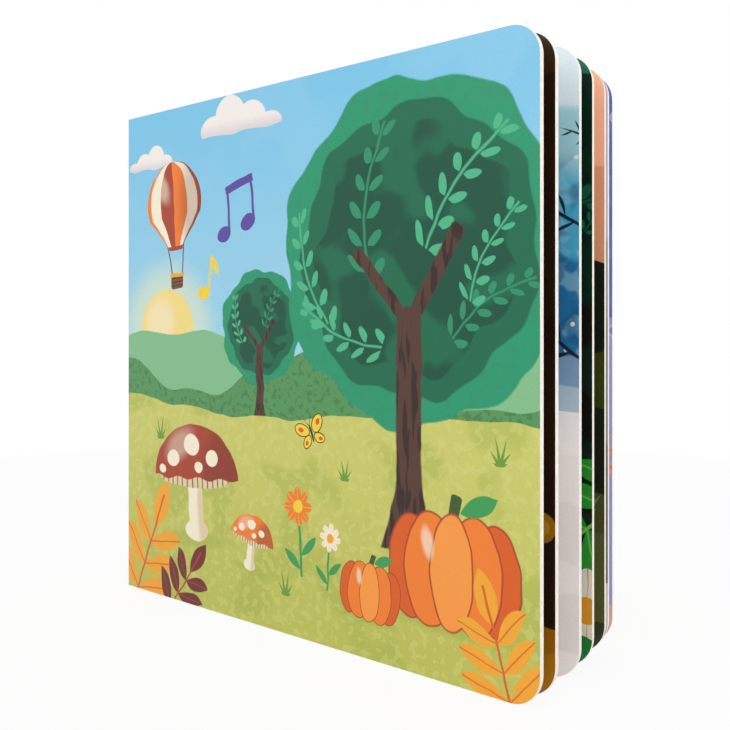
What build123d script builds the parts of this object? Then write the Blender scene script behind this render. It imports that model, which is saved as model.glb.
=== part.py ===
from build123d import *

import os
from math import cos, radians, sin, sqrt

# A square board book that stands open on its bottom edges, with a sound unit in its thick back cover.
# The origin is at the foot of the glued gutter, midway through the leaves. +Z runs up the spine,
# +X square out from it, and the front cover is on the -Y side. Lengths are in millimetres.

# Boards
page_width = 180.0
page_height = 180.0
board_thickness = 1.8
corner_radius = 9.0
gutter_depth = 1.5

# How far each board has fallen open, in degrees from square to the spine
cover_angle = -8.5
leaf_angles = [-6.55, -2.0, 1.0, 4.7, 5.4, 6.7]
back_angle = 30.0

# Spine and its two hinge lines
spine_thickness = 1.0
spine_edge_radius = 0.4
hinge_gap = 0.3

# Thick back cover
end_page_thickness = 1.2
back_board_thickness = 8.0
pocket_floor = 1.1

# Shells of the sound unit
unit_width = 132.0
unit_height = 92.0
unit_corner = 5.0
unit_shift = 2.0
unit_drop = 4.0
unit_clearance = 0.3
shell_wall = 1.0
lip_thickness = 0.8
lip_height = 1.2
lip_clearance = 0.15

# Layout in the unit: heights and distances from its middle, as shares of its height and width
button_row_share = -0.3
circuit_row_share = -0.23
circuit_height_share = 0.325
speaker_up_share = 0.22
speaker_across_share = 0.26
well_up_share = 0.22
well_across_share = -0.24

# Push buttons
button_count = 5
button_inset = 14.0
button_radius = 7.0
button_bevel = 0.6
button_rise = 0.3
button_travel = 1.0
button_clearance = 0.3
page_hole_margin = 1.0
flange_width = 1.7
flange_thickness = 0.7
flange_clearance = 0.2
pill_radius = 3.0
pill_margin = 0.1

# Circuit board and chip
circuit_inset = 4.0
circuit_thickness = 1.0
post_columns = 4
post_inset = 4.0
post_height = 1.1
post_width = 3.5
chip_radius = 4.5
chip_top_radius = 3.0
chip_height = 1.0
chip_rise_share = 0.25

# Loudspeaker
speaker_radius = 18.0
speaker_depth = 4.5
rim_thickness = 1.0
rim_width = 3.0
rim_ledge = 1.8
rim_ledge_depth = 0.4
basket_wall = 0.5
basket_windows = 4
basket_window_radius = 2.2
magnet_radius = 8.0
magnet_depth = 1.6
cone_wall = 0.25
cone_roll = 3.0
cone_step = 0.8
seat_clearance = 0.2
seat_wall = 0.8
seat_height = 1.5
tab_width = 9.0
tab_length = 3.5
grille_slots = 5
grille_pitch = 4.4
grille_slot_width = 2.2
grille_radius = 12.0

# Cells, their well and contacts
cell_count = 3
cell_radius = 5.8
cell_height = 3.1
cell_step = 0.3
cell_step_width = 0.8
cell_pitch = 12.6
well_end_room = 0.9
well_side_room = 0.5
well_wall = 0.8
contact_thickness = 0.2
contact_width = 9.0
tail_width = 1.6
tail_reach = 0.7
tail_room = 0.2

# Battery door and screws
door_overlap = 2.2
door_screw_land = 9.0
door_corner = 2.0
door_clearance = 0.3
rib_count = 4
rib_pitch = 1.6
rib_width = 0.7
rib_length = 9.0
rib_depth = 0.3
screw_head_radius = 1.9
screw_head_height = 0.8
screw_radius = 0.9
screw_slot_width = 0.5
screw_slot_length = 2.8
screw_slot_depth = 0.4
screw_hole_clearance = 0.2
pilot_clearance = 0.05
boss_radius = 2.8
boss_inset = 5.0
boss_split = 2.4
pilot_floor = 0.4

# Leads
lead_radius = 0.45
lead_landing = 1.5
lead_spacing = 5.0
solder_setback = 3.0

# The boards' root ends lie in one plane, and each cover turns about a line just outside it
root_x = -gutter_depth / 2
spine_width = len(leaf_angles) * board_thickness
hinge_x = root_x - (spine_thickness + hinge_gap) / 2
hinge_setback = root_x - hinge_x
front_hinge_y = -spine_width / 2 - hinge_gap
back_hinge_y = spine_width / 2 + hinge_gap


def along(angle):
    """The direction that a board runs in, away from the spine."""
    return Vector(cos(radians(angle)), sin(radians(angle)), 0)


def board_plane(root, angle):
    """A board's plane: x runs from the root to the fore edge, y up, and the normal to the front."""
    return Plane(origin=root, x_dir=along(angle), z_dir=along(angle).cross(Vector(0, 0, 1)))


def hinged_plane(hinge_y, angle):
    """The inner face of a cover that has turned by angle about its hinge line."""
    return board_plane(Vector(hinge_x, hinge_y, 0) + along(angle) * hinge_setback, angle)


def board_outline(root_extra=0):
    """A board with its two fore-edge corners rounded. root_extra lengthens it past the root."""
    with BuildSketch() as outline:
        with Locations((-root_extra, 0)):
            Rectangle(page_width + root_extra, page_height, align=(Align.MIN, Align.MIN))
        fillet(outline.vertices().group_by(Axis.X)[-1], corner_radius)
    return outline.sketch


# Front cover: one board, with its inner face on the hinge line's side
front_plane = hinged_plane(front_hinge_y, cover_angle)
with BuildPart() as front_cover:
    with BuildSketch(front_plane):
        add(board_outline())
    extrude(amount=board_thickness)

# Leaves: one piece of folded and glued spreads, fanned out from the gutter
with BuildPart() as pages:
    for number, angle in enumerate(leaf_angles):
        leaf_root = Vector(root_x, number * board_thickness - spine_width / 2, 0)
        with BuildSketch(board_plane(leaf_root, angle)):
            add(board_outline(root_extra=board_thickness))
        extrude(amount=-board_thickness)
    with BuildSketch():
        Rectangle(gutter_depth, spine_width)
    extrude(amount=page_height)
    split(bisect_by=Plane.YZ.offset(root_x), keep=Keep.TOP)

# Spine: the strip that the gutter is glued to
with BuildPart() as spine:
    with BuildSketch():
        with Locations((root_x, 0)):
            Rectangle(spine_thickness, spine_width, align=(Align.MAX, Align.CENTER))
    extrude(amount=page_height)
    fillet(spine.edges().filter_by(Axis.Z).group_by(Axis.X)[0], spine_edge_radius)

# Depths inside the back cover, from the printed face of its end page
back_plane = hinged_plane(back_hinge_y, back_angle)
depth_direction = -back_plane.z_dir
front_shell_face = end_page_thickness
front_shell_inside = front_shell_face + shell_wall
back_face = end_page_thickness + back_board_thickness
rear_shell_face = back_face - pocket_floor
rear_shell_inside = rear_shell_face - shell_wall
circuit_under = rear_shell_inside - post_height
circuit_face = circuit_under - circuit_thickness
cell_outer = rear_shell_face - contact_thickness
cell_inner = cell_outer - cell_height
well_floor = cell_inner - contact_thickness
well_top = well_floor - well_wall

# Places on the end page, from the root and up
unit_centre = Vector(page_width / 2 + unit_shift, page_height / 2 - unit_drop)
circuit_width = unit_width - 2 * circuit_inset
circuit_height = unit_height * circuit_height_share
circuit_centre = unit_centre + Vector(0, unit_height * circuit_row_share)
speaker_centre = unit_centre + Vector(unit_width * speaker_across_share, unit_height * speaker_up_share)
well_centre = unit_centre + Vector(unit_width * well_across_share, unit_height * well_up_share)
button_pitch = (unit_width - 2 * button_inset) / (button_count - 1)
button_places = [
    unit_centre + Vector((number - (button_count - 1) / 2) * button_pitch, unit_height * button_row_share)
    for number in range(button_count)
]
chip_centre = circuit_centre + Vector(button_pitch / 2, circuit_height * chip_rise_share)
cell_places = [
    well_centre + Vector((number - (cell_count - 1) / 2) * cell_pitch, 0)
    for number in range(cell_count)
]
boss_places = [
    unit_centre + Vector(across * (unit_width / 2 - boss_inset), up * (unit_height / 2 - boss_inset))
    for across in (-1, 1)
    for up in (-1, 1)
]
well_length = (cell_count - 1) * cell_pitch + 2 * (cell_radius + well_end_room)
well_height = 2 * (cell_radius + well_side_room)
tail_places = [
    well_centre + Vector(side * (well_length - contact_thickness) / 2, 0)
    for side in (-1, 1)
]
door_length = well_length + 2 * door_overlap + door_screw_land
door_height = well_height + 2 * door_overlap
door_centre = well_centre + Vector(door_screw_land / 2, 0)
door_screw_place = well_centre + Vector(well_length / 2 + door_screw_land / 2 + door_overlap / 2, 0)


def face_at(depth):
    """The plane at this depth in the back cover. Its normal points at the leaves."""
    return back_plane.offset(-depth)


def point_at(place, depth):
    return back_plane.from_local_coords(Vector(place.X, place.Y, -depth))


def section_at(place):
    """A plane through the axis of a round piece: x is its radius and y its depth."""
    return Plane(origin=point_at(place, 0), x_dir=along(back_angle), z_dir=(0, 0, 1))


def axis_at(place):
    return Axis(point_at(place, 0), depth_direction)


def upright_at(across):
    """A plane square to the board, at this distance from the root: x is up and y is depth."""
    return Plane(origin=point_at(Vector(across, 0), 0), x_dir=(0, 0, 1), z_dir=-along(back_angle))


def circles(places, radius):
    with BuildSketch() as rounds:
        with Locations(*places):
            Circle(radius)
    return rounds.sketch


def grille_openings():
    """The slots over the loudspeaker: level ones, each as long as a circle leaves room for."""
    with BuildSketch() as openings:
        for number in range(grille_slots):
            rise = (number - (grille_slots - 1) / 2) * grille_pitch
            with Locations(speaker_centre + Vector(0, rise)):
                SlotOverall(2 * sqrt(grille_radius**2 - rise**2), grille_slot_width)
    return openings.sketch


# End page: the printed board that closes the pocket, with a hole over each button
with BuildPart() as end_page:
    with BuildSketch(face_at(0)):
        add(board_outline())
        add(circles(button_places, button_radius + page_hole_margin), mode=Mode.SUBTRACT)
    extrude(amount=-end_page_thickness)

# Back cover: one thick board with the unit's pocket, the door's window and the grille
with BuildPart() as back_cover:
    with BuildSketch(face_at(end_page_thickness)):
        add(board_outline())
    extrude(amount=-back_board_thickness)
    with BuildSketch(face_at(end_page_thickness)):
        with Locations(unit_centre):
            RectangleRounded(
                unit_width + 2 * unit_clearance,
                unit_height + 2 * unit_clearance,
                unit_corner + unit_clearance,
            )
    extrude(amount=pocket_floor - back_board_thickness, mode=Mode.SUBTRACT)
    with BuildSketch(face_at(rear_shell_face)):
        with Locations(door_centre):
            RectangleRounded(
                door_length + 2 * door_clearance,
                door_height + 2 * door_clearance,
                door_corner + door_clearance,
            )
        add(grille_openings())
    extrude(amount=-pocket_floor, mode=Mode.SUBTRACT)

# Front shell: a plate with the button holes, a lip that locates it and four bosses
lip_inset = shell_wall + lip_clearance
lip_inside = lip_inset + lip_thickness
with BuildPart() as front_shell:
    with BuildSketch(face_at(front_shell_face)):
        with Locations(unit_centre):
            RectangleRounded(unit_width, unit_height, unit_corner)
        add(circles(button_places, button_radius + button_clearance), mode=Mode.SUBTRACT)
    extrude(amount=-shell_wall)
    with BuildSketch(face_at(front_shell_inside)):
        with Locations(unit_centre):
            RectangleRounded(
                unit_width - 2 * lip_inset, unit_height - 2 * lip_inset, unit_corner - lip_inset
            )
            RectangleRounded(
                unit_width - 2 * lip_inside,
                unit_height - 2 * lip_inside,
                unit_corner - lip_inside,
                mode=Mode.SUBTRACT,
            )
    extrude(amount=-lip_height)
    with BuildSketch(face_at(front_shell_inside)):
        add(circles(boss_places, boss_radius))
    extrude(amount=-boss_split)
    with BuildSketch(face_at(front_shell_inside + pilot_floor)):
        add(circles(boss_places, screw_radius + pilot_clearance))
    extrude(amount=pilot_floor - boss_split, mode=Mode.SUBTRACT)

# Rear shell: floor and walls, the cell well, the speaker's seat, the board's posts and the bosses
boss_top = front_shell_inside + boss_split
housing_head_face = rear_shell_face - screw_head_height
post_pitch = (circuit_width - 2 * post_inset) / (post_columns - 1)
post_places = [
    circuit_centre
    + Vector((column - (post_columns - 1) / 2) * post_pitch, up * (circuit_height / 2 - post_inset))
    for column in range(post_columns)
    for up in (-1, 1)
]
with BuildPart() as rear_shell:
    with BuildSketch(face_at(front_shell_inside)):
        with Locations(unit_centre):
            RectangleRounded(unit_width, unit_height, unit_corner)
    extrude(amount=front_shell_inside - rear_shell_face)
    with BuildSketch(face_at(front_shell_inside)):
        with Locations(unit_centre):
            RectangleRounded(
                unit_width - 2 * shell_wall, unit_height - 2 * shell_wall, unit_corner - shell_wall
            )
    extrude(amount=front_shell_inside - rear_shell_inside, mode=Mode.SUBTRACT)
    with BuildSketch(face_at(well_top)):
        with Locations(well_centre):
            Rectangle(well_length + 2 * well_wall, well_height + 2 * well_wall)
    extrude(amount=well_top - rear_shell_inside)
    with BuildSketch(face_at(well_floor)):
        with Locations(well_centre):
            Rectangle(well_length, well_height)
    extrude(amount=well_floor - rear_shell_face, mode=Mode.SUBTRACT)
    with BuildSketch(face_at(boss_top)):
        add(circles(boss_places + [door_screw_place], boss_radius))
    extrude(amount=boss_top - rear_shell_inside)
    with BuildSketch(face_at(boss_top)):
        add(circles(boss_places, screw_radius + screw_hole_clearance))
    extrude(amount=boss_top - rear_shell_face, mode=Mode.SUBTRACT)
    with BuildSketch(face_at(housing_head_face)):
        add(circles(boss_places, screw_head_radius + screw_hole_clearance))
    extrude(amount=-screw_head_height, mode=Mode.SUBTRACT)
    with BuildSketch(face_at(boss_top + pilot_floor)):
        add(circles([door_screw_place], screw_radius + pilot_clearance))
    extrude(amount=boss_top + pilot_floor - rear_shell_face, mode=Mode.SUBTRACT)
    with BuildSketch(face_at(rear_shell_inside - seat_height)):
        with Locations(speaker_centre):
            Circle(speaker_radius + seat_clearance + seat_wall)
            Circle(speaker_radius + seat_clearance, mode=Mode.SUBTRACT)
        with Locations(speaker_centre - Vector(0, speaker_radius)):
            Rectangle(tab_width + 2 * seat_clearance, tab_length, mode=Mode.SUBTRACT)
    extrude(amount=-seat_height)
    with BuildSketch(face_at(circuit_under)):
        with Locations(*post_places):
            Rectangle(post_width, post_width)
    extrude(amount=-post_height)
    with BuildSketch(face_at(rear_shell_inside)):
        add(grille_openings())
    extrude(amount=-shell_wall, mode=Mode.SUBTRACT)
    with BuildSketch(face_at(well_top)):
        with Locations(*tail_places):
            Rectangle(contact_thickness + tail_room, tail_width + tail_room)
    extrude(amount=-well_wall, mode=Mode.SUBTRACT)

# Circuit board
with BuildPart() as circuit_board:
    with BuildSketch(face_at(circuit_face)):
        with Locations(circuit_centre):
            Rectangle(circuit_width, circuit_height)
    extrude(amount=-circuit_thickness)

# Sound chip under its drop of resin
chip_top = circuit_face - chip_height
with BuildPart() as sound_chip:
    with BuildSketch(section_at(chip_centre)):
        with BuildLine():
            Polyline(
                (0, chip_top),
                (chip_top_radius, chip_top),
                (chip_radius, circuit_face),
                (0, circuit_face),
                close=True,
            )
        make_face()
    revolve(axis=axis_at(chip_centre))

# Loudspeaker depths
speaker_front = rear_shell_inside - speaker_depth
magnet_back = speaker_front + magnet_depth
basket_floor_back = magnet_back + basket_wall
rim_front = rear_shell_inside - rim_thickness
ledge_front = rear_shell_inside - rim_ledge_depth
rim_inner_radius = speaker_radius - rim_width
pan_radius = rim_inner_radius + basket_wall

# Loudspeaker basket: a pressed pan with windows, a ledge for the cone and a terminal tab
with BuildPart() as speaker_basket:
    with BuildSketch(section_at(speaker_centre)):
        with BuildLine():
            Polyline(
                (0, magnet_back),
                (pan_radius, magnet_back),
                (pan_radius, rim_front),
                (speaker_radius, rim_front),
                (speaker_radius, rear_shell_inside),
                (rim_inner_radius + rim_ledge, rear_shell_inside),
                (rim_inner_radius + rim_ledge, ledge_front),
                (rim_inner_radius, ledge_front),
                (rim_inner_radius, basket_floor_back),
                (0, basket_floor_back),
                close=True,
            )
        make_face()
    revolve(axis=axis_at(speaker_centre))
    with BuildSketch(face_at(magnet_back)):
        with Locations(speaker_centre):
            with PolarLocations((magnet_radius + rim_inner_radius) / 2, basket_windows):
                Circle(basket_window_radius)
    extrude(amount=-basket_wall, mode=Mode.SUBTRACT)
    with BuildSketch(face_at(rim_front)):
        with Locations(speaker_centre - Vector(0, speaker_radius + tab_length)):
            Rectangle(tab_width, tab_length + rim_width / 2, align=(Align.CENTER, Align.MIN))
    extrude(amount=-basket_wall)

# Loudspeaker magnet
with BuildPart() as speaker_magnet:
    with BuildSketch(face_at(speaker_front)):
        add(circles([speaker_centre], magnet_radius))
    extrude(amount=-magnet_depth)

# Loudspeaker cone: a thin pressed sheet, its middle a step deeper than the rim on the ledge
cone_front = ledge_front - cone_step
cone_middle_radius = rim_inner_radius - cone_roll
cone_rim_radius = rim_inner_radius + rim_ledge - seat_clearance
with BuildPart() as speaker_cone:
    with BuildSketch(section_at(speaker_centre)):
        with BuildLine():
            Polyline(
                (0, cone_front),
                (cone_middle_radius, cone_front),
                (cone_middle_radius, ledge_front),
                (cone_rim_radius, ledge_front),
                (cone_rim_radius, ledge_front + cone_wall),
                (cone_middle_radius - cone_wall, ledge_front + cone_wall),
                (cone_middle_radius - cone_wall, cone_front + cone_wall),
                (0, cone_front + cone_wall),
                close=True,
            )
        make_face()
    revolve(axis=axis_at(speaker_centre))

# Push buttons: each is one rubber key with a bevelled top, a flange that keeps it in and a pill
flange_front = front_shell_inside + flange_clearance
flange_back = flange_front + flange_thickness
pill_back = circuit_face - button_travel - pill_margin
button_top = -button_rise
buttons = []
for place in button_places:
    with BuildPart() as button:
        with BuildSketch(section_at(place)):
            with BuildLine():
                Polyline(
                    (0, button_top),
                    (button_radius - button_bevel, button_top),
                    (button_radius, button_top + button_bevel),
                    (button_radius, flange_front),
                    (button_radius + flange_width, flange_front),
                    (button_radius + flange_width, flange_back),
                    (pill_radius, flange_back),
                    (pill_radius, pill_back),
                    (0, pill_back),
                    close=True,
                )
            make_face()
        revolve(axis=axis_at(place))
    buttons.append(button)

# Cells: each turned over from its neighbour, so that the stack is in series
cells = []
for number, place in enumerate(cell_places):
    wide_face, narrow_face, step = cell_inner, cell_outer, cell_step
    if number % 2:
        wide_face, narrow_face, step = cell_outer, cell_inner, -cell_step
    with BuildPart() as cell:
        with BuildSketch(section_at(place)):
            with BuildLine():
                Polyline(
                    (0, wide_face),
                    (cell_radius, wide_face),
                    (cell_radius, narrow_face - step),
                    (cell_radius - cell_step_width, narrow_face - step),
                    (cell_radius - cell_step_width, narrow_face),
                    (0, narrow_face),
                    close=True,
                )
            make_face()
        revolve(axis=axis_at(place))
    cells.append(cell)


def contact_plate(low_across, high_across):
    """A contact's flat outline between two distances from the root."""
    middle = Vector((low_across + high_across) / 2, well_centre.Y)
    with BuildSketch() as plate:
        with Locations(middle):
            Rectangle(high_across - low_across, contact_width)
    return plate.sketch


# Contacts: the two with tails leave the well through slots in its floor, the two links don't
tail_front = well_top - tail_reach
half_contact = contact_width / 2
with BuildPart() as contact_positive:
    with BuildSketch(face_at(well_floor)):
        add(contact_plate(well_centre.X - well_length / 2, cell_places[0].X + half_contact))
    extrude(amount=-contact_thickness)
    with BuildSketch(face_at(tail_front)):
        with Locations(tail_places[0]):
            Rectangle(contact_thickness, tail_width)
    extrude(amount=tail_front - cell_inner)

with BuildPart() as contact_negative:
    with BuildSketch(face_at(cell_outer)):
        add(contact_plate(cell_places[-1].X - half_contact, well_centre.X + well_length / 2))
    extrude(amount=-contact_thickness)
    with BuildSketch(face_at(tail_front)):
        with Locations(tail_places[1]):
            Rectangle(contact_thickness, tail_width)
    extrude(amount=tail_front - rear_shell_face)

with BuildPart() as cell_link_inner:
    with BuildSketch(face_at(well_floor)):
        add(contact_plate(cell_places[1].X - half_contact, cell_places[2].X + half_contact))
    extrude(amount=-contact_thickness)

with BuildPart() as cell_link_outer:
    with BuildSketch(face_at(cell_outer)):
        add(contact_plate(cell_places[0].X - half_contact, cell_places[1].X + half_contact))
    extrude(amount=-contact_thickness)

# Battery door: flush with the back cover, with a sunk screw and a few grip grooves
door_head_face = back_face - screw_head_height
grip_centre = well_centre - Vector(well_length / 2 - rib_count * rib_pitch / 2, 0)
with BuildPart() as battery_door:
    with BuildSketch(face_at(rear_shell_face)):
        with Locations(door_centre):
            RectangleRounded(door_length, door_height, door_corner)
        add(circles([door_screw_place], screw_radius + screw_hole_clearance), mode=Mode.SUBTRACT)
    extrude(amount=-pocket_floor)
    with BuildSketch(face_at(door_head_face)):
        add(circles([door_screw_place], screw_head_radius + screw_hole_clearance))
    extrude(amount=-screw_head_height, mode=Mode.SUBTRACT)
    with BuildSketch(face_at(back_face - rib_depth)):
        with Locations(grip_centre):
            with GridLocations(rib_pitch, 1, rib_count, 1):
                Rectangle(rib_width, rib_length)
    extrude(amount=-rib_depth, mode=Mode.SUBTRACT)


def screw(place, tip, head_face):
    """A slotted pan-head screw. tip and head_face are depths, and the head is the deeper end."""
    with BuildPart() as made:
        with BuildSketch(face_at(tip)):
            add(circles([place], screw_radius))
        extrude(amount=tip - head_face)
        with BuildSketch(face_at(head_face)):
            add(circles([place], screw_head_radius))
        extrude(amount=-screw_head_height)
        with BuildSketch(face_at(head_face + screw_head_height - screw_slot_depth)):
            with Locations(place):
                Rectangle(screw_slot_length, screw_slot_width)
        extrude(amount=-screw_slot_depth, mode=Mode.SUBTRACT)
    return made.part


# Screws: one holds the door, four hold the shells together
with BuildPart() as door_screw:
    add(screw(door_screw_place, boss_top + pilot_floor + screw_hole_clearance, door_head_face))

with BuildPart() as shell_screws:
    for place in boss_places:
        add(screw(place, front_shell_inside + pilot_floor + screw_hole_clearance, housing_head_face))

# Leads: from the tails and from the loudspeaker's tab down to the circuit board
lead_on_circuit = circuit_face - lead_radius
circuit_edge = circuit_centre.Y + circuit_height / 2
lead_end = circuit_edge - solder_setback
lead_over_well = well_top - lead_radius
well_low_edge = well_centre.Y - well_height / 2 - well_wall
with BuildPart() as battery_leads:
    for place in tail_places:
        with BuildLine(upright_at(place.X)) as route:
            Polyline(
                (place.Y - tail_width / 2, lead_over_well),
                (well_low_edge, lead_over_well),
                (lead_end, lead_on_circuit),
            )
        with BuildSketch(Plane(origin=route.line @ 0, z_dir=route.line % 0)):
            Circle(lead_radius)
        sweep(transition=Transition.RIGHT)

lead_on_tab = rim_front - lead_radius
with BuildPart() as speaker_leads:
    for side in (-1, 1):
        with BuildLine(upright_at(speaker_centre.X + side * lead_spacing / 2)) as route:
            Polyline(
                (speaker_centre.Y - speaker_radius, lead_on_tab),
                (circuit_edge + lead_landing, lead_on_circuit),
                (lead_end, lead_on_circuit),
            )
        with BuildSketch(Plane(origin=route.line @ 0, z_dir=route.line % 0)):
            Circle(lead_radius)
        sweep(transition=Transition.RIGHT)

named = {
    "front_cover": front_cover,
    "pages": pages,
    "spine": spine,
    "end_page": end_page,
    "back_cover": back_cover,
    "front_shell": front_shell,
    "rear_shell": rear_shell,
    "circuit_board": circuit_board,
    "sound_chip": sound_chip,
    "speaker_basket": speaker_basket,
    "speaker_magnet": speaker_magnet,
    "speaker_cone": speaker_cone,
    "contact_positive": contact_positive,
    "contact_negative": contact_negative,
    "cell_link_inner": cell_link_inner,
    "cell_link_outer": cell_link_outer,
    "battery_door": battery_door,
    "door_screw": door_screw,
    "shell_screws": shell_screws,
    "battery_leads": battery_leads,
    "speaker_leads": speaker_leads,
}
for number, button in enumerate(buttons, start=1):
    named[f"button_{number}"] = button
for number, cell in enumerate(cells, start=1):
    named[f"battery_cell_{number}"] = cell

os.makedirs("parts", exist_ok=True)
for name, built in named.items():
    built.part.label = name
    export_step(built.part, f"parts/{name}.step")
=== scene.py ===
# %% [markdown]
# # A sound book: print, board, rubber and light
# A thick board book stands open on its bottom edges. Its solids come ready at their real size. This lesson
# gives every one of them its finish: printed board under a glossy film, bare board at the cut edges, rubber
# keys, moulded plastic and plated steel. Then it raises a number on each key, and sets up light and camera.

# %% Load the book's solids
from math import pi, radians

import bmesh
import bpy
from mathutils import Matrix, Vector


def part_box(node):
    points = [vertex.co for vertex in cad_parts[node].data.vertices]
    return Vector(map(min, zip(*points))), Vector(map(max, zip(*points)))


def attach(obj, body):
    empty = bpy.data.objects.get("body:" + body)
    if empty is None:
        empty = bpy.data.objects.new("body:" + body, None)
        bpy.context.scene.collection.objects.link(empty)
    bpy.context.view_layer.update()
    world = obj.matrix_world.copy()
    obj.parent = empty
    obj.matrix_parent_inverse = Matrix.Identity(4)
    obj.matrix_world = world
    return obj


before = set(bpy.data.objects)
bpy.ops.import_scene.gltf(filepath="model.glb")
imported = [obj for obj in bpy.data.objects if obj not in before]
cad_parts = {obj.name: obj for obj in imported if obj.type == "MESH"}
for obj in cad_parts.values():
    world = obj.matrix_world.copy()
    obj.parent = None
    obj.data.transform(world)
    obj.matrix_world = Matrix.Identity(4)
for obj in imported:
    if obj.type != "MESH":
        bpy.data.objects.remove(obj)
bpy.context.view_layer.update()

MM = 0.001

# %% [markdown]
# ## Camera
# The picture was taken from the front and to the right, with the camera level and about halfway up the book,
# so upright edges stay upright. A level camera that shows the book a little high in the frame is a camera
# with its picture shifted, not tilted. The focal length and the place come from a fit to the cover's corners.

# %% Place the camera
IMAGE_SIZE = 730
FOCAL_PX = 914.9
HORIZON_PX = 326.2
SENSOR = 36
CAMERA_PLACE = Vector((264.2, -259.4, 100.1)) * MM
CAMERA_TURN = radians(32)

scene = bpy.context.scene
lens = bpy.data.cameras.new("camera")
lens.sensor_width = SENSOR
lens.lens = SENSOR * FOCAL_PX / IMAGE_SIZE
lens.shift_y = (HORIZON_PX - IMAGE_SIZE / 2) / IMAGE_SIZE
lens.clip_start = 0.01
camera = bpy.data.objects.new("camera", lens)
camera.location = CAMERA_PLACE
camera.rotation_euler = (radians(90), 0, CAMERA_TURN)
scene.collection.objects.link(camera)
scene.camera = camera
scene.view_settings.view_transform = "Standard"
print("lens", round(lens.lens, 2), "mm, shift", round(lens.shift_y, 4))

# %% [markdown]
# ## Sockets that can be calculated with
# A shader is a tree of nodes, and a formula is easier to read than a tree. A Value stands for one socket.
# Arithmetic on it adds Math nodes, and its node method adds any other kind.


# %% Value
class Value:
    """One socket of a node tree. Wherever a node takes a colour, its code such as #14553f will do."""

    def __init__(self, tree, socket):
        self.tree = tree
        self.socket = socket

    def node(self, kind, settings=None, inputs=None, output=0):
        made = self.tree.nodes.new(kind)
        for name, value in (settings or {}).items():
            setattr(made, name, value)
        for name, value in (inputs or {}).items():
            if isinstance(value, Value):
                self.tree.links.new(value.socket, made.inputs[name])
            else:
                made.inputs[name].default_value = dye(value) if isinstance(value, str) else value
        return Value(self.tree, made.outputs[output]) if made.outputs else None

    def math(self, operation, *others):
        return self.node("ShaderNodeMath", {"operation": operation}, dict(enumerate((self, *others))))

    def vector(self, operation, *others, output=0):
        inputs = dict(enumerate((self, *others)))
        return self.node("ShaderNodeVectorMath", {"operation": operation}, inputs, output)

    def scaled(self, factor):
        return self.node("ShaderNodeVectorMath", {"operation": "SCALE"}, {0: self, "Scale": factor})

    def part(self, axis):
        """One coordinate. Separate XYZ would take room for all three in the shader's memory."""
        return self.vector("DOT_PRODUCT", tuple(float(n == axis) for n in range(3)), output=1)

    def ramp(self, slope, start):
        """This times slope, plus start, in a single node."""
        return self.math("MULTIPLY_ADD", slope, start)

    def most(self, other):
        """The greater of two values."""
        return self.math("MAXIMUM", other)

    def length(self):
        return self.vector("LENGTH", output=1)

    def step(self, start, end):
        """0 where this is at start, 1 where it is at end, and smooth between them."""
        settings = {"interpolation_type": "SMOOTHSTEP", "clamp": False}
        inputs = {"Value": self, "From Min": start, "From Max": end}
        return self.node("ShaderNodeMapRange", settings, inputs)

    def __add__(self, other):
        return self.math("ADD", other)

    __radd__ = __add__

    def __sub__(self, other):
        return self.math("SUBTRACT", other)

    def __rsub__(self, other):
        return self.ramp(-1, other)

    def __mul__(self, other):
        return self.math("MULTIPLY", other)

    __rmul__ = __mul__

    def __truediv__(self, other):
        return self.math("DIVIDE", other)

    def __mod__(self, other):
        return self.math("FLOORED_MODULO", other)

    def __pow__(self, other):
        return self.math("MULTIPLY", self) if other == 2 else self.math("POWER", other)

    def __abs__(self):
        return self.math("ABSOLUTE")


# %% Colour and noise
def dye(code):
    """A colour written as on paper, such as #14553f, turned into light."""
    channels = [int(code[start:start + 2], 16) / 255 for start in (1, 3, 5)]
    light = [c / 12.92 if c <= 0.04045 else ((c + 0.055) / 1.055) ** 2.4 for c in channels]
    return (*light, 1)


def grey(level):
    return (level, level, level, 1)


def blend(mask, under, over):
    """The under colour where the mask is 0, the over colour where it is 1."""
    return mask.node("ShaderNodeMix", {"data_type": "RGBA"}, {0: mask, 6: under, 7: over}, output=2)


def noise(at, scale, detail=2, roughness=0.5, output=0, dimensions="3D"):
    inputs = {"Vector": at, "Scale": scale, "Detail": detail, "Roughness": roughness}
    return at.node("ShaderNodeTexNoise", {"noise_dimensions": dimensions}, inputs, output)


# %% Opening and closing a material
def new_finish(name):
    """An empty material, and the place on the book in millimetres as a vector to build it on."""
    material = bpy.data.materials.new(name)
    material.use_nodes = True
    tree = material.node_tree
    tree.nodes.clear()
    place = Value(tree, tree.nodes.new("ShaderNodeTexCoord").outputs["Object"])
    return material, place.scaled(1 / MM)


def surface(colour, skin, relief, spread, least, fixed=None, wear=None):
    """Closes a material. skin is a noise that raises bumps as high as relief, in millimetres. Roughness is
    at least least, and grows by spread with the skin, or with the wear where it has a noise of its own."""
    inputs = {"Base Color": colour, "Roughness": (wear or skin).ramp(spread, least), **(fixed or {})}
    inputs["Normal"] = skin.node("ShaderNodeBump", None, {"Distance": relief * MM, "Height": skin})
    shader = skin.node("ShaderNodeBsdfPrincipled", None, inputs)
    shader.node("ShaderNodeOutputMaterial", None, {"Surface": shader})


# %% [markdown]
# ## Floor, backdrop and light
# The book stood on white in a room full of soft light. The world is white where the camera, a glossy surface
# or glass looks at it, and a softer grey where it only lights the book. The floor is lit like anything else,
# so it keeps a faint shadow, but for the camera it is mixed with white, and far from the book it is all
# white, so that it melts into the backdrop.

# %% White backdrop, floor and lamps
BACKDROP_LIGHT = 0.6
FLOOR_HALF = 3
FLOOR_GREY = 0.88
FLOOR_WHITE_SHARE = 0.9
SHADOW_REACH = (0.18, 0.5)


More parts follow.
